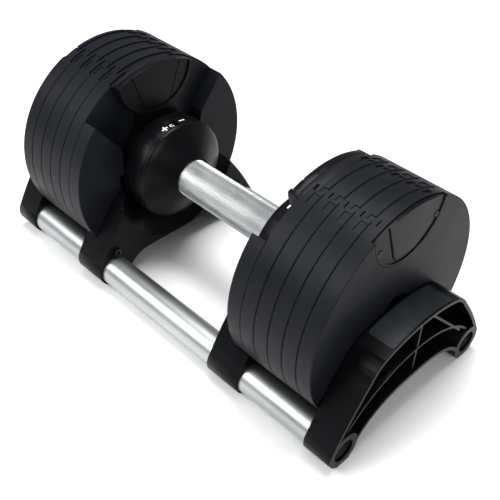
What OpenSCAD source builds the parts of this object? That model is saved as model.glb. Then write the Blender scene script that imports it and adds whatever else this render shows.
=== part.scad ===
// Adjustable dumbbell standing in its storage tray.
// X runs along the handle, Y across it, Z up. The origin is on the ground,
// under the middle of the handle.

/* [Weight plates] */
// Radius of a weight plate
plate_r = 86; // [80:1:92]
// Distance from one plate to the next
pitch = 12.7; // [12:0.1:14]
// Distance from the middle of the handle to the inner face of the first plate
stack_in = 83; // [80:0.5:86]
// Gap between neighbouring plates
seam = 0.4; // [0.3:0.05:0.6]
// Radius of the hole for the lock rod
bore_r = 8; // [7.6:0.1:9]

/* [Handle] */
// Radius of the turning grip
grip_r = 16; // [14:0.5:18]
// Radius of the hub at its rim
hub_r = 42.1; // [40:0.1:43]
// Distance from the middle of the handle to the hub's rim
hub_in = 61.8; // [58:0.2:64]
// Radius of a lock rod
rod_r = 7; // [6:0.1:7.3]
// Turn of the grip from the lightest to the heaviest setting, in degrees
grip_turn = 300; // [240:10:320]

/* [Tray] */
// Radius of a tray rail
rail_r = 12.5; // [11:0.5:14]
// Half the length of the tray
tray_half = 184; // [180:1:190]
// Radius of the moulding round a rail
wrap_r = 14.3; // [13.8:0.1:15]
// Where an inner bracket starts, from the middle of the tray
inner_bracket_x = 64; // [62:0.5:68]

/* [Hidden] */

$fn = 96;

plate_colour = [0.13, 0.13, 0.14];
moulding_colour = [0.10, 0.10, 0.11];
rail_colour = [0.75, 0.76, 0.78];
steel_colour = [0.6, 0.6, 0.62];
bronze_colour = [0.72, 0.55, 0.30];
screw_colour = [0.25, 0.25, 0.26];

// Angle of a rail round the handle, measured down from the horizontal
rail_angle = 42.8;
// Gap between a plate's rim and a rail
rest_gap = 0.4;
rail_reach = plate_r + rail_r + rest_gap;
rail_y = rail_reach * cos(rail_angle);
axis_z = wrap_r + rail_reach * sin(rail_angle);
rail_z = wrap_r;
rail_wall = 1.6;
rail_fit = 0.1;

plates = 5;
half_seam = seam / 2;
function seam_x(k) = stack_in + pitch * k;
stack_out = seam_x(plates + 1);

// Lens-shaped coupling between neighbours: an arc that hangs from the plate's rim
lens_z = 81;
lens_r = 37.6;
coupling_top_r = plate_r - 0.9;
fit_gap = 0.6;
boss_h = 2.0;
lip_h = 2.2;
head_h = 2.4;
flare = 2.6;

travel = pitch * plates;
rod_tip = 94.6;
rod_tail = travel / 2;
pin_x = 4;
tube_in = 7.5;
tube_out = 9.8;
tube_end = 80;
housing_x = 82.6;
hub_back = seam_x(1) - half_seam;
neck_r = 38;

// ---------- helpers ----------

function arc(y, z, r, from, to, steps = 12) =
    [for (i = [0 : steps]) let (a = from + (to - from) * i / steps) [y + r * cos(a), z + r * sin(a)]];

function curve(a, b, c, steps = 10) =
    [for (i = [0 : steps]) let (t = i / steps) a * (1 - t) * (1 - t) + b * 2 * t * (1 - t) + c * t * t];

function flip(points) = [for (i = [len(points) - 1 : -1 : 0]) [-points[i].x, points[i].y]];

// Turns a Y-Z outline into a slab that runs along X from x0 to x1
module slab(x0, x1) {
    translate([x0, 0, 0]) rotate([90, 0, 90]) linear_extrude(x1 - x0) children();
}

// A round bar along X
module bar(x0, x1, r, y = 0, z = 0) {
    translate([x0, y, z]) rotate([0, 90, 0]) cylinder(h = x1 - x0, r = r);
}

// A cone along X
module taper(x0, x1, r0, r1) {
    translate([x0, 0, 0]) rotate([0, 90, 0]) cylinder(h = x1 - x0, r1 = r0, r2 = r1);
}

// A ring along X
module ring(x0, x1, r_in, r_out) {
    difference() {
        bar(x0, x1, r_out);
        bar(x0 - 1, x1 + 1, r_in);
    }
}

module at_axis() { translate([0, 0, axis_z]) children(); }

module left() { mirror([1, 0, 0]) children(); }

// Turns a right-hand part of the drive end for end and upside down
module opposite() { rotate([180, 0, 0]) mirror([1, 0, 0]) children(); }

// ---------- coupling outline ----------

tongue_slope = 19.65;
tongue_corner = [7.1, 55.5];
tongue_corner_r = 7;
tongue_top = 94;

function tongue_side(w) =
    tongue_corner.x + (tongue_corner_r + w + (tongue_top - tongue_corner.y) * sin(tongue_slope))
    / cos(tongue_slope);

function tongue_half(w) = concat(
    arc(tongue_corner.x, tongue_corner.y, tongue_corner_r + w, -90, -tongue_slope, 6),
    [[tongue_side(w), tongue_top]]);

module tongue(w) { polygon(concat(tongue_half(w), flip(tongue_half(w)))); }

module lens(grow = 0) { translate([0, lens_z]) circle(lens_r + grow); }

module below_rim() {
    intersection() {
        circle(coupling_top_r);
        children();
    }
}

// Male half, standing out from the seam at x
module coupling_tongue(x) {
    slab(x - half_seam, x + boss_h) below_rim() lens();
    slab(x + boss_h, x + boss_h + lip_h) below_rim() tongue(-flare);
    slab(x + boss_h + lip_h, x + boss_h + lip_h + head_h) below_rim() tongue(flare);
}

// Female half, cut into the part beyond the seam at x
module coupling_groove(x) {
    slab(x - 1, x + boss_h + fit_gap) lens(fit_gap + 0.2);
    slab(x, x + boss_h + lip_h) tongue(-flare + fit_gap);
    slab(x + boss_h + lip_h - fit_gap, x + boss_h + lip_h + head_h + fit_gap) tongue(flare + fit_gap);
}

// ---------- weight plates ----------

rim_chamfer = 0.5;
floor_gap = 3;
relief_depth = 2.2;
relief_in = 26;
relief_out = 74;
cap_depth = 3.6;
bore_mouth_r = 12.5;
bore_mouth_depth = 2.5;

// Shallow pockets in the rim beside the coupling: angle of the middle, length round the rim,
// start and width along X
rim_pockets = [[112.4, 9, 6.2, 5.2], [106.2, 4.6, 4.4, 4.2]];
rim_pocket_depth = 0.7;

ring_screw_ring = 62;
ring_screw_angles = [200, 245, 295, 340];
ring_screw_r = 2.5;
ring_screw_head = 4.8;

// Disc with chamfered edges, cut flat underneath so that it clears the floor
module disc(x0, x1) {
    difference() {
        union() {
            taper(x0, x0 + rim_chamfer, plate_r - rim_chamfer, plate_r);
            bar(x0 + rim_chamfer, x1 - rim_chamfer, plate_r);
            taper(x1 - rim_chamfer, x1, plate_r, plate_r - rim_chamfer);
        }
        translate([x0 - 1, -plate_r, -plate_r - axis_z + floor_gap])
            cube([x1 - x0 + 2, 2 * plate_r, plate_r]);
    }
}

// Pockets inboard of the seam at x, on both sides of the coupling
module rim_pocket_cuts(x) {
    for (p = rim_pockets, a = [p[0], 180 - p[0]]) rotate([a, 0, 0])
        translate([x - p[2], plate_r - rim_pocket_depth, -p[1] / 2]) cube([p[3], 2, p[1]]);
}

module ring_screw_places() {
    for (a = ring_screw_angles) rotate([a, 0, 0]) translate([0, ring_screw_ring, 0]) children();
}

module ring_screw_shape() {
    face = seam_x(2) - half_seam;
    bar(seam_x(0) + 4, face, ring_screw_r);
    taper(face - 3, face, ring_screw_r, ring_screw_head);
}

module weight_plate(k) {
    x0 = seam_x(k) + half_seam;
    x1 = seam_x(k + 1) - half_seam;
    color(plate_colour) at_axis() difference() {
        union() {
            disc(x0, x1);
            if (k < plates) coupling_tongue(seam_x(k + 1));
        }
        bar(x0 - 1, x1 + 8, bore_r);
        coupling_groove(seam_x(k));
        if (k > 1) slab(x0 - 1, x0 + relief_depth) difference() {
            circle(relief_out);
            circle(relief_in);
            lens(5);
        }
        if (k < plates) rim_pocket_cuts(seam_x(k + 1));
        if (k == 1) ring_screw_places() ring_screw_shape();
        if (k == plates) {
            slab(x1 - cap_depth, x1 + 1) lens();
            bar(x1 - bore_mouth_depth, x1 + 1, bore_mouth_r);
            end_cap_screw_places() bar(-cap_depth - 4, 0, cap_screw_r);
        }
    }
}

ring_opening_r = 40;
ring_lower_r = 46;
ring_mouth = [[41.4, 0], [41.4, 24], [42.5, 29], [67, 60], [90, 90]];

// First weight: a horseshoe that is open at the top for the hub
module ring_plate() {
    x0 = seam_x(0) + half_seam;
    x1 = seam_x(1) + half_seam;
    color(plate_colour) at_axis() difference() {
        disc(x0, x1);
        slab(x0 - 1, x1 + 1) {
            circle(ring_opening_r);
            intersection() {
                circle(ring_lower_r);
                translate([-60, -60]) square([120, 64]);
            }
            polygon(concat(ring_mouth, flip(ring_mouth)));
        }
        ring_screw_places() ring_screw_shape();
    }
}

module ring_screws() {
    color(screw_colour) at_axis() difference() {
        ring_screw_places() ring_screw_shape();
        ring_screw_places() translate([seam_x(2) - half_seam - 2.4, 0, 0]) rotate([0, 90, 0])
            cylinder(h = 4, r = 1.8, $fn = 6);
    }
}

cap_screw_r = 1.25;
cap_screw_head = 2.4;
cap_screw_y = 29.5;
cap_screw_z = 65.3;

module end_cap_screw_places() {
    for (s = [-1, 1]) translate([stack_out - half_seam, s * cap_screw_y, cap_screw_z]) children();
}

module end_cap_screws() {
    color(rail_colour) at_axis() end_cap_screw_places() difference() {
        union() {
            bar(-cap_depth - 4, -1.4, cap_screw_r);
            taper(-1.5, -0.4, cap_screw_head, cap_screw_head - 0.5);
        }
        translate([-1.1, 0, 0]) rotate([0, 90, 0]) cylinder(h = 2, r = 0.9, $fn = 6);
    }
}

// Lens-shaped cap that closes the last plate's pocket
module end_cap() {
    face = stack_out - half_seam;
    color(moulding_colour) at_axis() {
        difference() {
            slab(face - cap_depth, face - 0.9) below_rim() lens(-0.3);
            slab(face - 1.9, face) below_rim() difference() {
                tongue(0.6);
                tongue(-0.2);
            }
            end_cap_screw_places() bar(-cap_depth - 1, 0, cap_screw_r);
            end_cap_screw_places() bar(-1.5, 1, cap_screw_head + 0.2);
        }
        slab(face - 1.9, face - 0.3) below_rim() tongue(-0.5);
        slab(face - 1.9, face) below_rim() difference() {
            lens(-0.3);
            lens(-1.9);
        }
    }
}

// ---------- handle ----------

slot_width = 6.4;
slot_over = 2.6;

// Helical slot that pushes a follower pin outwards as the tube turns
module drive_slot() {
    length = travel + 2 * slot_over;
    twist = grip_turn * length / travel;
    start = 270 + grip_turn * slot_over / travel;
    translate([pin_x - slot_over, 0, 0]) rotate([0, 90, 0]) rotate([0, 0, start])
        linear_extrude(length, twist = twist, slices = 40, segments = 8)
            translate([tube_in - 1.5, -slot_width / 2]) square([5, slot_width]);
}

module drive_tube() {
    color(steel_colour) at_axis() difference() {
        bar(-tube_end, tube_end, tube_out);
        bar(-tube_end - 1, tube_end + 1, tube_in);
        drive_slot();
        opposite() drive_slot();
        for (s = [0, 1]) mirror([s, 0, 0])
            ring(ring_groove_x - 0.05, ring_groove_x + 1.25, tube_out - 0.9, 12);
    }
}

grip_end = 50;

module grip_sleeve() {
    color(rail_colour) at_axis() difference() {
        union() {
            bar(-grip_end, grip_end, grip_r);
            taper(-grip_end - 1, -grip_end, grip_r - 1, grip_r);
            taper(grip_end, grip_end + 1, grip_r, grip_r - 1);
        }
        bar(-70, 70, tube_out);
    }
}

cone_tip_x = 46.5;
cone_tip_r = 17.6;
wall_in = 40.9;
wall_out = 42.6;
band_in = 38.4;
band_out = 40.4;
window_x = 64;
window_w = 6.8;
window_a = 93.6;
spigot_x = 78.2;
bush_in = 64;
bush_out = 70;
bush_r = 14;
pin_shaft_x = 79.2;
hub_screw_in = 1.7;
hub_screw_head = 2.4;
lock_pin_r = 2.2;
lock_pin_hole_r = 2.6;

// Conical cover that carries the drum wall, with a window over the number ring
module hub_cover() {
    color(moulding_colour) at_axis() {
        difference() {
            union() {
                taper(cone_tip_x, hub_in - 1, cone_tip_r, hub_r - 0.8);
                taper(hub_in - 1, hub_in, hub_r - 0.8, hub_r);
                bar(hub_in, hub_in + 2, hub_r);
                bar(hub_in + 2, housing_x - 0.2, wall_out);
            }
            taper(cone_tip_x + 3, hub_in + 1, cone_tip_r - 0.4, wall_in - 3);
            bar(cone_tip_x - 1, cone_tip_x + 6, grip_r + 0.5);
            bar(hub_in + 1, housing_x, wall_in);
            rotate([window_a, 0, 0]) translate([window_x, 0, 0]) window_block();
            hub_screw_places() bar_out(wall_in - 2, wall_out + 1, 1.5);
            hub_screw_places() bar_out(wall_out - 1, wall_out + 1, hub_screw_head);
            translate([pin_shaft_x, 0, -50]) cylinder(h = 20, r = lock_pin_hole_r);
        }
        ring(bush_in - 2, bush_out, bush_r, bush_r + 2.6);
        for (a = [0 : 60 : 300]) rotate([a, 0, 0]) intersection() {
            translate([cone_tip_x + 6.5, bush_r + 1, -1]) cube([bush_in - cone_tip_x - 6.5, 21, 2]);
            union() {
                taper(cone_tip_x + 1, hub_in, cone_tip_r, hub_r - 1);
                bar(hub_in, bush_in, wall_in - 3);
            }
        }
    }
}

module window_block() { translate([0, 30, -4.2]) cube([window_w, 20, 8.4]); }

// A short bar that stands out along +Y
module bar_out(r0, r1, r) {
    translate([0, r0, 0]) rotate([-90, 0, 0]) cylinder(h = r1 - r0, r = r);
}

module hub_screw_places() {
    for (a = [195, 345]) rotate([a, 0, 0]) translate([spigot_x + hub_screw_in, 0, 0]) children();
}

module hub_screws() {
    color(screw_colour) at_axis() hub_screw_places() difference() {
        union() {
            bar_out(wall_in - 2, wall_out - 0.8, 1.5);
            bar_out(wall_out - 1, wall_out - 0.2, hub_screw_head);
        }
        translate([0, wall_out - 0.8, 0]) rotate([-90, 0, 0]) cylinder(h = 2, r = 1.2, $fn = 6);
    }
}

lens_flange_x = 88;
rod_bush_in = 84.5;
rod_bush_r = 11;

// Back half of the hub, which drops into the horseshoe opening
module hub_housing() {
    color(moulding_colour) at_axis() {
        difference() {
            union() {
                ring(spigot_x, housing_x + 0.4, wall_in - 2, wall_in - 0.1);
                bar(housing_x, housing_x + 2, wall_in - 0.1);
                bar(housing_x, hub_back, neck_r);
                slab(lens_flange_x, hub_back - 1.6) below_rim() lens(-1);
                slab(hub_back - 1.6, hub_back) below_rim() difference() {
                    lens(-1);
                    lens(-3);
                }
                translate([lens_flange_x, -20, 28]) cube([hub_back - 1.6 - lens_flange_x, 40, 22]);
                slab(lens_flange_x - 1.4, lens_flange_x) below_rim() difference() {
                    lens(-1);
                    lens(-4);
                }
                translate([spigot_x, -7, 0.5 - wall_in]) cube([housing_x - spigot_x + 1, 14, 6]);
                translate([spigot_x - 2.6, -4, spring_top]) cube([housing_x - spigot_x + 3, 8, 3]);
            }
            bar(housing_x + 2, hub_back - 3, neck_r - 3);
            bar(rod_bush_in - 6, hub_back + 1, rod_bush_r);
            slab(hub_back - 1.6, hub_back + 1) below_rim() lens(-2.6);
            slab(lens_flange_x - 2, lens_flange_x + 1) below_rim() difference() {
                tongue(0.3);
                tongue(-0.5);
            }
            hub_screw_places() bar_out(wall_in - 4, wall_out + 1, 1.5);
            translate([pin_shaft_x, 0, spring_top - 30]) cylinder(h = 30, r = lock_pin_hole_r);
        }
        ring(rod_bush_in, hub_back, rod_bush_r, rod_bush_r + 2.6);
        for (a = [30 : 60 : 330]) rotate([a, 0, 0]) translate([housing_x + 1.5, rod_bush_r + 1.5, -1])
            cube([hub_back - housing_x - 2, 23, 2]);
    }
}

// Steel tongue on the hub's back, which slides into the first plate's groove
module tongue_plate() {
    color(plate_colour) at_axis() {
        slab(hub_back - 1.6, hub_back + half_seam) below_rim() lens(-3);
        coupling_tongue(seam_x(1));
    }
}

number_steps = 6;
web_x = 71;
web_t = 2;
band_end = 76.7;
ring_groove_x = 76.4;

// Numbered ring that turns with the grip and is notched for the lock pin
module number_ring() {
    color(moulding_colour) at_axis() {
        difference() {
            union() {
                ring(window_x - 1, band_end, band_in, band_out);
                ring(web_x, web_x + web_t, tube_out, band_out);
            }
            for (i = [0 : number_steps - 1]) rotate([i * 360 / number_steps, 0, 0])
                translate([web_x + web_t + 0.3, -2.4, -band_out - 1]) cube([6, 4.8, 5.2]);
            ring(web_x - 1, web_x + web_t + 1, bush_r + 4, band_in - 6);
        }
        ring(web_x, ring_groove_x - 0.1, tube_out, bush_r);
        for (a = [30 : 60 : 330]) rotate([a, 0, 0])
            translate([web_x, bush_r + 2, -2.5]) cube([web_t, band_in - bush_r - 5, 5]);
    }
}

module hub_bush() {
    color(bronze_colour) at_axis() {
        ring(bush_in, bush_out, tube_out + 0.05, bush_r);
        ring(bush_out, bush_out + 0.6, tube_out + 0.05, bush_r + 1.6);
    }
}

key_w = 2.6;

module rod_bush() {
    color(bronze_colour) at_axis() {
        ring(rod_bush_in, hub_back, rod_r + 0.05, rod_bush_r);
        translate([rod_bush_in, -key_w / 2, -rod_r - 1]) cube([hub_back - rod_bush_in, key_w, 2]);
    }
}

module retaining_ring() {
    color(steel_colour) at_axis() translate([ring_groove_x, 0, 0]) difference() {
        bar(0, 1.2, 12.2);
        bar(-1, 2, tube_out - 0.9);
        translate([-1, -1.5, -15]) cube([4, 3, 15]);
    }
}

// Lock rod: round at its tip, half-round where it passes the other rod
module lock_rod() {
    color(steel_colour) at_axis() difference() {
        union() {
            bar(rod_tail, rod_tip - 1.2, rod_r);
            taper(rod_tip - 1.2, rod_tip, rod_r, rod_r - 1.2);
            difference() {
                bar(-rod_tail, rod_tail, rod_r);
                translate([-rod_tail - 1, -half_seam, -rod_r - 1]) cube([2 * rod_tail + 1, 9, 20]);
            }
        }
        translate([-rod_tail - 1, -key_w / 2 - 0.3, -rod_r - 1])
            cube([rod_tip + rod_tail + 2, key_w + 0.6, 2.4]);
        translate([pin_x, -rod_r - 1, 0]) rotate([-90, 0, 0]) cylinder(h = rod_r, r = 2);
    }
}

module follower_pin() {
    color(steel_colour) at_axis() translate([pin_x, -tube_out + 0.4, 0]) rotate([-90, 0, 0])
        cylinder(h = tube_out - 1.4, r = 2);
}

lock_pin_top = -31.6;
spring_coils = 4;
spring_top = -24.6;
lock_pin_foot = -43.6;
tooth_z = -36.9;

// Lock pin: the tray holds it up, and its tooth drops into the number ring when the handle is lifted
module lock_pin() {
    color(steel_colour) at_axis() {
        translate([pin_shaft_x, 0, lock_pin_foot]) cylinder(h = lock_pin_top - lock_pin_foot, r = lock_pin_r);
        translate([web_x + web_t + 0.8, -1.8, tooth_z]) cube([pin_shaft_x - web_x - web_t - 0.8, 3.6, 3.2]);
    }
}

spring_r = 1.6;
wire_r = 0.35;
wire_sides = 6;
turn_steps = 14;

function coil_point(i, j) =
    let (a = 360 * i / turn_steps, b = 360 * j / wire_sides, r = spring_r + wire_r * cos(b))
    [r * cos(a), r * sin(a), wire_r + wire_r * sin(b)
        + (spring_top - lock_pin_top - 2 * wire_r) * i / (spring_coils * turn_steps)];

module lock_spring() {
    rings = spring_coils * turn_steps;
    points = [for (i = [0 : rings], j = [0 : wire_sides - 1]) coil_point(i, j)];
    ends = [[for (j = [0 : wire_sides - 1]) j],
        [for (j = [wire_sides - 1 : -1 : 0]) rings * wire_sides + j]];
    sides = [for (i = [0 : rings - 1], j = [0 : wire_sides - 1]) let (k = (j + 1) % wire_sides)
        [i * wire_sides + j, (i + 1) * wire_sides + j, (i + 1) * wire_sides + k, i * wire_sides + k]];
    color(rail_colour) at_axis() translate([pin_shaft_x, 0, lock_pin_top])
        polyhedron(points, concat(ends, sides));
}

// ---------- tray ----------

foot_lift = 0.4;
plate_gap = 0.6;
skin = 3;

function flank() = concat(
    curve([42, 80.5], [49, 77], [55, 67.5], 5),
    curve([55, 67.5], [72, 46], [rail_y + 12, wrap_r + 7.8], 6),
    arc(rail_y, rail_z, wrap_r, 28, -62, 8),
    [[rail_y + 5, 0]]);

function outer_half() = concat(
    [for (y = [0 : 6 : 36]) [y, 88 - y * y / 235]],
    flank(),
    [[rail_y - 7, 0]],
    curve([rail_y - 7, 0], [52, 36], [0, 34], 10));

function inner_half() = concat(
    [[0, 69], [41, 69], [46, 72]],
    [for (p = flank()) if (p.y < 70) p],
    [[rail_y - 10, 0]],
    curve([rail_y - 10, 0], [51, 20], [36, 19.5], 6),
    [[0, 19.5]]);

module outer_outline() { polygon(concat(outer_half(), flip(outer_half()))); }
module inner_outline() { polygon(concat(inner_half(), flip(inner_half()))); }

module both_rails() {
    for (s = [-1, 1]) translate([0, s * rail_y, rail_z]) children();
}

module foot_cut() { translate([-200, -100, -5]) cube([400, 200, 5 + foot_lift]); }

pad_w = 9;
pad_y = rail_y - 1;

module pad_places() {
    color([0.06, 0.06, 0.06]) for (s = [-1, 1], x = [inner_bracket_x + 3, stack_out + 5], side = [-1, 1])
        translate([s * x + (s < 0 ? -pad_len(x) : 0), side * pad_y - pad_w / 2, 0])
            cube([pad_len(x), pad_w, 1.6]);
}

function pad_len(x) = x > 100 ? 15 : 24;

boss_x = 181.5;
mouth_r = 9;
back_wall = 3;

// Outer end of the tray: a hollow bridge, ribbed and open on its outer side
module outer_bracket() {
    x0 = stack_out + 0.8;
    color(moulding_colour) difference() {
        union() {
            difference() {
                slab(x0, tray_half) outer_outline();
                slab(x0 + back_wall, tray_half + 1) offset(delta = -skin) outer_outline();
            }
            intersection() {
                slab(x0 + 1, tray_half - 0.8) offset(delta = -skin / 2) outer_outline();
                union() {
                    slab(x0, tray_half - 1.5) translate([0, -35.7]) difference() {
                        circle(96.4);
                        circle(94.4);
                    }
                    translate([x0, -1, 0]) cube([tray_half - 2 - x0, 2, 100]);
                    slab(x0, tray_half - 1.5) polygon([[8, 86], [10.5, 86], [60, 36], [57.5, 36]]);
                }
            }
            both_rails() bar(x0, tray_half, wrap_r);
        }
        both_rails() bar(x0 - 1, boss_x, rail_r + rail_fit);
        both_rails() bar(boss_x - 1, tray_half + 1, mouth_r);
        foot_cut();
        pad_places();
    }
}

screw_y = rail_y - 3.6;
screw_z = 31.6;

// Inner support: cradles the plates and funnels the hub into place
module inner_bracket() {
    x0 = inner_bracket_x;
    x1 = 95;
    color(moulding_colour) {
        difference() {
            union() {
                slab(x0, housing_x - 0.4) inner_outline();
                slab(housing_x - 1, x1) inner_outline();
                both_rails() bar(x0, x1, wrap_r);
            }
            at_axis() bar(housing_x - 0.4, x1 + 1, plate_r + plate_gap);
            at_axis() taper(x0 - 0.1, housing_x - 0.3, 62.1, 43.2);
            both_rails() bar(x0 - 1, x1 + 1, rail_r + rail_fit);
            for (s = [-1, 1]) bar(x0 - 1, x0 + 14, 2, s * screw_y, screw_z);
            foot_cut();
            pad_places();
        }
        translate([pin_shaft_x, 0, 22]) cylinder(h = axis_z + lock_pin_foot - 22.3, r = lock_pin_r);
    }
}

module bracket_screws() {
    color(screw_colour) for (side = [0, 1]) mirror([side, 0, 0]) for (s = [-1, 1]) {
        difference() {
            union() {
                bar(inner_bracket_x - 0.2, inner_bracket_x + 13, 2, s * screw_y, screw_z);
                bar(inner_bracket_x - 2.2, inner_bracket_x, 3.6, s * screw_y, screw_z);
            }
            translate([inner_bracket_x - 3, s * screw_y, screw_z]) rotate([0, 90, 0])
                cylinder(h = 2, r = 1.8, $fn = 6);
        }
    }
}

module rail(side) {
    color(rail_colour) difference() {
        bar(-boss_x, boss_x, rail_r, side * rail_y, rail_z);
        bar(-boss_x - 1, boss_x + 1, rail_r - rail_wall, side * rail_y, rail_z);
    }
}

module left_rod_set() {
    at_axis() opposite() translate([0, 0, -axis_z]) children();
}

rail(-1);  // front_rail
rail(1);  // back_rail
left() outer_bracket();  // left_outer_bracket
left() inner_bracket();  // left_inner_bracket
inner_bracket();  // right_inner_bracket
outer_bracket();  // right_outer_bracket
bracket_screws();
pad_places();  // foot_pads
left() ring_plate();  // left_ring_plate
left() weight_plate(1);  // left_plate_1
left() weight_plate(2);  // left_plate_2
left() weight_plate(3);  // left_plate_3
left() weight_plate(4);  // left_plate_4
left() weight_plate(5);  // left_plate_5
left() end_cap();  // left_end_cap
left() end_cap_screws();  // left_cap_screws
left() ring_screws();  // left_ring_screws
ring_plate();  // right_ring_plate
weight_plate(1);  // right_plate_1
weight_plate(2);  // right_plate_2
weight_plate(3);  // right_plate_3
weight_plate(4);  // right_plate_4
weight_plate(5);  // right_plate_5
end_cap();  // right_end_cap
end_cap_screws();  // right_cap_screws
ring_screws();  // right_ring_screws
grip_sleeve();
drive_tube();
left() hub_cover();  // left_hub_cover
left() hub_housing();  // left_hub_housing
left() tongue_plate();  // left_tongue_plate
left() hub_screws();  // left_hub_screws
left() number_ring();  // left_number_ring
left() hub_bush();  // left_hub_bush
left_rod_set() rod_bush();  // left_rod_bush
left() retaining_ring();  // left_retaining_ring
left_rod_set() lock_rod();  // left_lock_rod
left_rod_set() follower_pin();  // left_follower_pin
left() lock_pin();  // left_lock_pin
left() lock_spring();  // left_lock_spring
hub_cover();  // right_hub_cover
hub_housing();  // right_hub_housing
tongue_plate();  // right_tongue_plate
hub_screws();  // right_hub_screws
number_ring();  // right_number_ring
hub_bush();  // right_hub_bush
rod_bush();  // right_rod_bush
retaining_ring();  // right_retaining_ring
lock_rod();  // right_lock_rod
follower_pin();  // right_follower_pin
lock_pin();  // right_lock_pin
lock_spring();  // right_lock_spring
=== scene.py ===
import math

import bpy
from mathutils import Matrix, Vector


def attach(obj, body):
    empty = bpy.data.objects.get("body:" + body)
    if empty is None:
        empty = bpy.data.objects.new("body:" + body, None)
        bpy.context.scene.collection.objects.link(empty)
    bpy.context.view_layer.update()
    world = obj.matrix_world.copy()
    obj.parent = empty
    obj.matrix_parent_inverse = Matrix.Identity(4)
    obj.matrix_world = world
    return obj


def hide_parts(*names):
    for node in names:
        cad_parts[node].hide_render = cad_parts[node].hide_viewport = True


print("stage: frame")
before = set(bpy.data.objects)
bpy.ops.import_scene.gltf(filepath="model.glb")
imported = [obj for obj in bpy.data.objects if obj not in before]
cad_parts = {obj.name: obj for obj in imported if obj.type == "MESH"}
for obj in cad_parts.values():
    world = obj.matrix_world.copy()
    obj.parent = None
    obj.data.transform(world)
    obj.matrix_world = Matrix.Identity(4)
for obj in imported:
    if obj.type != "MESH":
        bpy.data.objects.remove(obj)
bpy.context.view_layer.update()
mm = 0.001
axisZ = 81.497  # height of the handle's centre line, in millimetres
cadNodes = {o.name: o for o in bpy.data.objects if o.type == "MESH"}
scene = bpy.context.scene


# ---- materials ----
print("stage: materials")


def toLinear(hexCode):
    parts = [int(hexCode[i:i + 2], 16) / 255 for i in (1, 3, 5)]
    return [c / 12.92 if c <= 0.04045 else ((c + 0.055) / 1.055) ** 2.4 for c in parts] + [1]


def addNode(tree, kind, settings=None, links=None):
    node = tree.nodes.new(kind)
    for key, value in (settings or {}).items():
        if hasattr(node, key):
            setattr(node, key, value)
        else:
            node.inputs[key].default_value = value
    for key, source in (links or {}).items():
        tree.links.new(source, node.inputs[key])
    return node


# Two patterns drive every finish: grain is the surface's own texture, wear is the slow change across it.
# Their sizes are in millimetres along X, Y and Z. Grain too fine to show is drawn coarser than the real one.
def makeFinish(name, look):
    material = bpy.data.materials.new(name)
    material.use_nodes = True
    tree = material.node_tree
    shader = tree.nodes["Principled BSDF"]
    place = addNode(tree, "ShaderNodeTexCoord")
    fields = []
    for part in ("grain", "wear"):
        spread = addNode(tree, "ShaderNodeMapping", {"Scale": [1 / (s * mm) for s in look[part]]},
                         {"Vector": place.outputs["Object"]})
        if part == "grain" and look.get("cells"):
            field = addNode(tree, "ShaderNodeTexVoronoi", {"Scale": 1.0},
                            {"Vector": spread.outputs["Vector"]})
            fields.append(field.outputs["Distance"])
        else:
            field = addNode(tree, "ShaderNodeTexNoise", {"Scale": 1.0, "Detail": 4.0},
                            {"Vector": spread.outputs["Vector"]})
            fields.append(field.outputs["Fac"])
    grain, wear = fields
    tone = addNode(tree, "ShaderNodeValToRGB", {}, {"Fac": wear})
    for stop, at, shade in zip(tone.color_ramp.elements, (0.35, 0.65), look["tones"]):
        stop.position = at
        stop.color = toLinear(shade)
    fleck = addNode(tree, "ShaderNodeMapRange",
                    {"From Min": 0.3, "From Max": 0.7,
                     "To Min": 1 - look["fleck"], "To Max": 1 + look["fleck"]},
                    {"Value": grain})
    shaded = addNode(tree, "ShaderNodeVectorMath", {"operation": "SCALE"},
                     {"Vector": tone.outputs["Color"], "Scale": fleck.outputs["Result"]})
    tree.links.new(shaded.outputs["Vector"], shader.inputs["Base Color"])
    both = addNode(tree, "ShaderNodeMath", {"operation": "MULTIPLY_ADD"}, {"Value": grain})
    both.inputs[1].default_value = 0.35
    tree.links.new(wear, both.inputs[2])
    gloss = addNode(tree, "ShaderNodeMapRange",
                    {"From Min": 0.45, "From Max": 0.9,
                     "To Min": look["rough"][0], "To Max": look["rough"][1]},
                    {"Value": both.outputs["Value"]})
    tree.links.new(gloss.outputs["Result"], shader.inputs["Roughness"])
    relief = addNode(tree, "ShaderNodeBump", {"Strength": look["bump"], "Distance": look["depth"] * mm},
                     {"Height": grain})
    tree.links.new(relief.outputs["Normal"], shader.inputs["Normal"])
    for socket, value in look.get("fixed", {}).items():
        shader.inputs[socket].default_value = value
    return material


# Steel plate with baked satin powder coat: a fine orange peel that breaks up the soft reflections.
# The blacks have a low specular level, so that a white room doesn't turn them grey.
powderCoat = {"grain": (0.7, 0.7, 0.7), "wear": (38, 38, 38),
              "tones": ("#101217", "#14161b"), "fleck": 0.06,
              "rough": (0.4, 0.5), "bump": 0.3, "depth": 0.015,
              "fixed": {"Specular IOR Level": 0.11}}
# Nylon moulded in a spark-eroded mould: an even fine stipple and a dull sheen
mouldedNylon = {"grain": (0.45, 0.45, 0.45), "wear": (30, 30, 30),
                "tones": ("#090a0c", "#0d0e10"), "fleck": 0.06,
                "rough": (0.26, 0.36), "bump": 0.3, "depth": 0.01,
                "fixed": {"Specular IOR Level": 0.08}}
# Hub moulding: the same nylon with a finer, lower stipple, so its cone shows one soft band
hubNylon = {"grain": (0.4, 0.4, 0.4), "wear": (22, 22, 22),
            "tones": ("#08080b", "#0c0c0f"), "fleck": 0.05,
            "rough": (0.3, 0.38), "bump": 0.2, "depth": 0.008,
            "fixed": {"Specular IOR Level": 0.1}}
# Drawn steel tube, belt polished along its length and satin plated: long faint streaks
satinTube = {"grain": (34, 0.5, 0.5), "wear": (60, 14, 14),
             "tones": ("#adb0b1", "#b7babb"), "fleck": 0.04,
             "rough": (0.34, 0.4), "bump": 0.05, "depth": 0.002,
             "fixed": {"Metallic": 1.0}}
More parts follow.
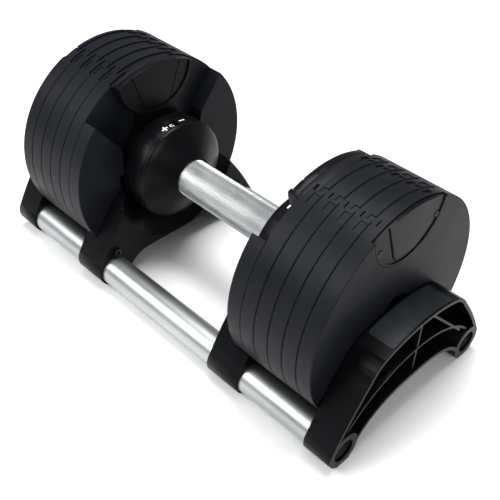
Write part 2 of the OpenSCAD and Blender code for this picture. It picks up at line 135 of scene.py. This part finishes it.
# Knurled steel, plated: the mesh has the diamonds, and the plating gives them bright crests
knurledSteel = {"grain": (0.5, 0.5, 0.5), "wear": (16, 16, 16),
                "tones": ("#c6c9ca", "#d0d3d3"), "fleck": 0.06,
                "rough": (0.28, 0.36), "bump": 0.12, "depth": 0.006,
                "fixed": {"Metallic": 1.0}}
# Turned and ground steel: fine rings round the axis
groundSteel = {"grain": (0.25, 9, 9), "wear": (12, 12, 12),
               "tones": ("#9b9da1", "#aeb0b3"), "fleck": 0.05,
               "rough": (0.22, 0.34), "bump": 0.15, "depth": 0.01,
               "fixed": {"Metallic": 1.0}}
# Spring wire, drawn through a die: streaks round the coil
springWire = {"grain": (0.8, 0.8, 0.2), "wear": (3, 3, 3),
              "tones": ("#8f9196", "#a5a7ab"), "fleck": 0.08,
              "rough": (0.24, 0.36), "bump": 0.15, "depth": 0.005,
              "fixed": {"Metallic": 1.0}}
# Blackened screws: dark oxide over turned steel
blackOxide = {"grain": (0.3, 0.9, 0.9), "wear": (2.5, 2.5, 2.5),
              "tones": ("#2a2b2d", "#3a3b3e"), "fleck": 0.08,
              "rough": (0.3, 0.42), "bump": 0.2, "depth": 0.01,
              "fixed": {"Metallic": 1.0}}
# Sintered bronze bush: open pores that hold oil
sinteredBronze = {"grain": (0.5, 0.5, 0.5), "cells": True, "wear": (5, 5, 5),
                  "tones": ("#8a6a3c", "#a5824c"), "fleck": 0.15,
                  "rough": (0.36, 0.5), "bump": 0.4, "depth": 0.03,
                  "fixed": {"Metallic": 1.0}}
# Moulded rubber pad: soft, coarse and matt
mouldedRubber = {"grain": (0.8, 0.8, 0.8), "wear": (7, 7, 7),
                 "tones": ("#161616", "#1f1f1f"), "fleck": 0.1,
                 "rough": (0.7, 0.85), "bump": 0.5, "depth": 0.05}
# Pad printing: thin white ink, slightly uneven
padPrint = {"grain": (0.3, 0.3, 0.3), "wear": (2, 2, 2),
            "tones": ("#dcdcdb", "#f1f1ef"), "fleck": 0.03,
            "rough": (0.5, 0.6), "bump": 0.1, "depth": 0.005}
# Film label with a fine embossed lacquer
filmLabel = {"grain": (0.35, 0.35, 0.35), "wear": (18, 18, 18),
             "tones": ("#1a1e23", "#1f242a"), "fleck": 0.04,
             "rough": (0.36, 0.44), "bump": 0.12, "depth": 0.008,
             "fixed": {"Specular IOR Level": 0.2}}

looks = {
    "steel plate in satin powder coat": powderCoat,
    "nylon, spark-eroded mould": mouldedNylon,
    "nylon, smooth mould": hubNylon,
    "steel tube, satin plated": satinTube,
    "knurled steel, plated": knurledSteel,
    "ground steel": groundSteel,
    "drawn spring wire": springWire,
    "steel, black oxide": blackOxide,
    "sintered bronze": sinteredBronze,
    "moulded rubber": mouldedRubber,
    "pad-printed white ink": padPrint,
    "printed film label": filmLabel,
}
finish = {name: makeFinish(name, look) for name, look in looks.items()}

wornBy = (
    ("rail", "steel tube, satin plated"),
    ("bracket_screws", "steel, black oxide"),
    ("bracket", "nylon, spark-eroded mould"),
    ("foot_pads", "moulded rubber"),
    ("tongue_plate", "steel plate in satin powder coat"),
    ("plate", "steel plate in satin powder coat"),
    ("end_cap", "nylon, spark-eroded mould"),
    ("screws", "steel, black oxide"),
    ("grip_sleeve", "knurled steel, plated"),
    ("drive_tube", "ground steel"),
    ("hub_bush", "sintered bronze"),
    ("rod_bush", "sintered bronze"),
    ("hub", "nylon, smooth mould"),
    ("number_ring", "nylon, spark-eroded mould"),
    ("spring", "drawn spring wire"),
)
for name, node in cadNodes.items():
    worn = next((m for key, m in wornBy if key in name), "ground steel")
    node.data.materials.clear()
    node.data.materials.append(finish[worn])


# ---- softened edges on the CAD mouldings ----
print("stage: edges")
softened = {"bracket": 0.55, "hub_cover": 0.35, "hub_housing": 0.4, "end_cap": 0.2, "tongue_plate": 0.3}
for name, node in cadNodes.items():
    width = next((w for key, w in softened.items() if key in name and "screws" not in name), None)
    if width is None:
        continue
    weld = node.modifiers.new("weld", "WELD")
    weld.merge_threshold = 0.005 * mm
    edge = node.modifiers.new("edge", "BEVEL")
    edge.width = width * mm
    edge.segments = 2
    edge.limit_method = "ANGLE"
    edge.angle_limit = math.radians(42)
    edge.harden_normals = True
    edge.use_clamp_overlap = True


def addPiece(name, verts, faces, material, body, slotName, smooth=True):
    mesh = bpy.data.meshes.new(name)
    mesh.from_pydata([Vector(v) * mm for v in verts], [], faces)
    mesh.update()
    mesh.shade_smooth() if smooth else mesh.shade_flat()
    piece = bpy.data.objects.new(name, mesh)
    scene.collection.objects.link(piece)
    mesh.materials.append(finish[material])
    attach(piece, body)
    return piece


# ---- knurled grip ----
print("stage: grip")
# A real knurl is about 1 mm; this one is drawn at 1.7 mm so that it shows
grip = {"radius": 15.98, "depth": 0.62, "half": 49.2, "end": 50.98, "bore": 9.9, "face": 14.6,
        "chamfer": (0.25, 15.05), "collar": ((50.1, 0.2), (49.8, 0.05)),
        "around": 240, "along": 232, "plain": 3}


def buildGrip():
    count = grip["around"]
    rows = []

    def knurl(i, j):
        if i < grip["plain"] or i > grip["along"] - grip["plain"]:
            return 0.5
        first = abs((i + j) % 4 - 2)
        second = abs((i - j) % 4 - 2)
        return min(first, second) / 2

    r = grip["radius"]
    run, chamferRadius = grip["chamfer"]
    lead = [(-grip["end"], grip["bore"]), (-grip["end"], grip["face"]), (-grip["end"] + run, chamferRadius)]
    lead += [(-x, r - drop) for x, drop in grip["collar"]]
    for x, rr in lead:
        rows.append([(x, rr)] * count)
    for i in range(grip["along"] + 1):
        x = -grip["half"] + 2 * grip["half"] * i / grip["along"]
        rows.append([(x, r - grip["depth"] * (1 - knurl(i, j))) for j in range(count)])
    for x, rr in reversed(lead):
        rows.append([(-x, rr)] * count)
    verts = []
    for row in rows:
        for j, (x, rr) in enumerate(row):
            a = 2 * math.pi * j / count
            verts.append((x, rr * math.cos(a), axisZ + rr * math.sin(a)))
    faces = []
    for i in range(len(rows) - 1):
        for j in range(count):
            k = (j + 1) % count
            faces.append((i * count + j, i * count + k, (i + 1) * count + k, (i + 1) * count + j))
    last = (len(rows) - 1) * count
    for j in range(count):
        k = (j + 1) % count
        faces.append((last + j, last + k, k, j))
    piece = addPiece("knurledGrip", verts, faces, "knurled steel, plated", "grip", "grip", smooth=False)
    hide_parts("grip_sleeve")


buildGrip()


# ---- marks on the hubs ----
print("stage: marks")
digitBars = {"0": "abcdef", "1": "bc", "2": "abged", "3": "abgcd", "4": "fgbc", "5": "afgcd"}


# Strokes of a digit as rectangles (left, right, bottom, top) about its middle
def digitStrokes(digit, wide, tall, line):
    w, h, t = wide / 2, tall / 2, line / 2
    bars = {
        "a": (-w, w, h - line, h), "d": (-w, w, -h, -h + line), "g": (-w, w, -t, t),
        "b": (w - line, w, 0, h), "c": (w - line, w, -h, 0),
        "f": (-w, -w + line, 0, h), "e": (-w, -w + line, -h, 0),
    }
    return [bars[b] for b in digitBars[digit]]


# The four walls between two cross-sections of a flat bar, whose corners start at a and b
def barWalls(a, b):
    return [(a + 1, a + 3, b + 3, b + 1), (a, b, b + 2, a + 2),
            (a, a + 1, b + 1, b), (a + 2, b + 2, b + 3, a + 3)]


def barEnds(start, end):
    return [(start, start + 2, start + 3, start + 1), (end, end + 1, end + 3, end + 2)]


# Bends flat strokes round a drum. facing -1 is the left hub, read from the grip side
def bendStrokes(strokes, drum, angle, middle, facing, raised=0.07, sunk=0.1):
    verts, faces = [], []
    for left, right, low, high in strokes:
        steps = max(1, math.ceil((right - left) / 0.6))
        start = len(verts)
        for s in range(steps + 1):
            u = left + (right - left) * s / steps
            a = math.radians(angle) + facing * u / drum
            for v in (low, high):
                for r in (drum - sunk, drum + raised):
                    verts.append((facing * (middle + v), r * math.cos(a), axisZ + r * math.sin(a)))
        for s in range(steps):
            faces += barWalls(start + s * 4, start + s * 4 + 4)
        faces += barEnds(start, start + steps * 4)
    return verts, faces


numbers = {"drum": 40.4, "middle": 67.9, "window": 93.6, "values": ("5", "10", "20", "30", "40", "50"),
           "turn": 60, "wide": 2.9, "tall": 5.2, "line": 0.7, "gap": 0.5}
signs = {"drum": 42.6, "middle": 67.4, "plus": 104.4, "minus": 80.6, "long": 5.4, "thick": 1.25}


def joinParts(parts):
    verts, faces = [], []
    for partVerts, partFaces in parts:
        base = len(verts)
        verts += partVerts
        faces += [tuple(base + i for i in f) for f in partFaces]
    return verts, faces


for side, facing in (("left", -1), ("right", 1)):
    parts = []
    for i, value in enumerate(numbers["values"]):
        strokes = []
        for d, digit in enumerate(value):
            shift = (d - (len(value) - 1) / 2) * (numbers["wide"] + numbers["gap"])
            bars = digitStrokes(digit, numbers["wide"], numbers["tall"], numbers["line"])
            strokes += [(left + shift, right + shift, low, high) for left, right, low, high in bars]
        angle = numbers["window"] - numbers["turn"] * i
        parts.append(bendStrokes(strokes, numbers["drum"], angle, numbers["middle"], facing))
    addPiece(side + "Numbers", *joinParts(parts), "pad-printed white ink", "grip", "marking", smooth=False)
    half, line = signs["long"] / 2, signs["thick"] / 2
    bar = (-half, half, -line, line)
    plus = [bar, (-line, line, line, half), (-line, line, -half, -line)]
    plusAngle, minusAngle = signs["plus"], signs["minus"]
    if facing > 0:
        plusAngle, minusAngle = minusAngle + 2, plusAngle
    parts = [bendStrokes(plus, signs["drum"], plusAngle, signs["middle"], facing),
             bendStrokes([bar], signs["drum"], minusAngle, signs["middle"], facing)]
    addPiece(side + "Signs", *joinParts(parts), "pad-printed white ink", "handle", "marking", smooth=False)


# ---- blank label on the outer bracket ----
print("stage: label")
label = {"from": 161.6, "to": 182.4, "back": -33.0, "front": 35.0, "corner": 2.2,
         "over": 0.12, "under": 0.15}
# The bracket's top falls away from its crown, in flat facets between kinks
bracketTop = {"crown": 88, "fall": 235, "facet": 6, "kinksTo": 36}


def topOfBracket(y):
    crown, fall, facet = bracketTop["crown"], bracketTop["fall"], bracketTop["facet"]
    if y >= bracketTop["kinksTo"]:
        return crown - y * y / fall
    step = math.floor(abs(y) / facet) * facet
    a, b = crown - step * step / fall, crown - (step + facet) ** 2 / fall
    return a + (b - a) * (abs(y) - step) / facet


def buildLabel():
    ring = []
    x0, x1, y0, y1, c = label["from"], label["to"], label["back"], label["front"], label["corner"]
    corners = ((x1 - c, y1 - c, 0), (x0 + c, y1 - c, 90), (x0 + c, y0 + c, 180), (x1 - c, y0 + c, 270))
    for cx, cy, start in corners:
        for k in range(7):
            a = math.radians(start + 15 * k)
            ring.append((cx + c * math.cos(a), cy + c * math.sin(a)))
    # rows across the label at every kink of the bracket's top, so that it lies flat on each facet
    kinks = set(range(-30, bracketTop["kinksTo"], bracketTop["facet"]))
    rows = sorted({round(y, 4) for _, y in ring} | kinks)
    verts, faces = [], []
    for y in rows:
        inset = 0
        for edge, inner in ((y1, y1 - c), (y0, y0 + c)):
            if (y - inner) * (edge - inner) > 0:
                inset = c - math.sqrt(max(0, c * c - (y - inner) ** 2))
        for x in (x0 + inset, x1 - inset):
            for dz in (-label["under"], label["over"]):
                verts.append((x, y, topOfBracket(y) + dz))
    for i in range(len(rows) - 1):
        faces += barWalls(4 * i, 4 * i + 4)
    faces += barEnds(0, 4 * (len(rows) - 1))
    addPiece("endLabel", verts, faces, "printed film label", "tray", "label", smooth=False)


buildLabel()


# ---- floor, light and camera ----
print("stage: studio")
studio = {"floor": 4.0, "paper": "#f4f4f4", "sky": 0.3}
floorMesh = bpy.data.meshes.new("floor")
half = studio["floor"]
floorCorners = [(-half, -half, 0), (half, -half, 0), (half, half, 0), (-half, half, 0)]
floorMesh.from_pydata(floorCorners, [], [(0, 1, 2, 3)])
floor = bpy.data.objects.new("floor", floorMesh)
scene.collection.objects.link(floor)
paper = bpy.data.materials.new("matt paper sweep")
paper.use_nodes = True
paperShader = paper.node_tree.nodes["Principled BSDF"]
paperShader.inputs["Base Color"].default_value = toLinear(studio["paper"])
paperShader.inputs["Roughness"].default_value = 0.9
floorMesh.materials.append(paper)

world = bpy.data.worlds.new("white room")
scene.world = world
world.use_nodes = True
world.node_tree.nodes["Background"].inputs["Color"].default_value = (1, 1, 1, 1)
world.node_tree.nodes["Background"].inputs["Strength"].default_value = studio["sky"]


def addLight(name, place, target, size, power):
    lamp = bpy.data.lights.new(name, "AREA")
    lamp.shape = "RECTANGLE"
    lamp.size, lamp.size_y = size
    lamp.energy = power
    holder = bpy.data.objects.new(name, lamp)
    scene.collection.objects.link(holder)
    holder.location = place
    holder.rotation_mode = "QUATERNION"
    holder.rotation_quaternion = (Vector(target) - Vector(place)).to_track_quat("-Z", "Y")


lights = {
    "overhead": ((-0.1, 0.25, 1.5), (0, 0, 0.08), (0.9, 0.7), 25),
    "leftSoftbox": ((-0.5, -0.8, 0.85), (-0.02, 0, 0.06), (0.9, 0.5), 11),
    "endSoftbox": ((1.1, -0.4, 0.7), (0.1, 0, 0.08), (0.5, 0.5), 5),
}
for name, (place, target, size, power) in lights.items():
    addLight(name, place, target, size, power)

view = {"azimuth": 43.70, "elevation": 40.52, "roll": 2.29, "distance": 0.6498,
        "aim": (0.0204, 0, 0.0464), "lens": 58.62}
azimuth, elevation, roll = (math.radians(view[k]) for k in ("azimuth", "elevation", "roll"))
level = math.cos(elevation)
back = Vector((math.sin(azimuth) * level, -math.cos(azimuth) * level, math.sin(elevation)))
right = Vector((math.cos(azimuth), math.sin(azimuth), 0))
upward = back.cross(right)
tiltedRight = right * math.cos(roll) + upward * math.sin(roll)
tiltedUp = upward * math.cos(roll) - right * math.sin(roll)
cameraData = bpy.data.cameras.new("camera")
cameraData.sensor_width = 36
cameraData.lens = view["lens"]
cameraData.clip_start, cameraData.clip_end = 0.02, 20
camera = bpy.data.objects.new("camera", cameraData)
scene.collection.objects.link(camera)
turn = Matrix((tiltedRight, tiltedUp, back)).transposed()
camera.matrix_world = Matrix.Translation(Vector(view["aim"]) + back * view["distance"]) @ turn.to_4x4()
scene.camera = camera
scene.view_settings.view_transform = "Standard"

print("stage: finish")
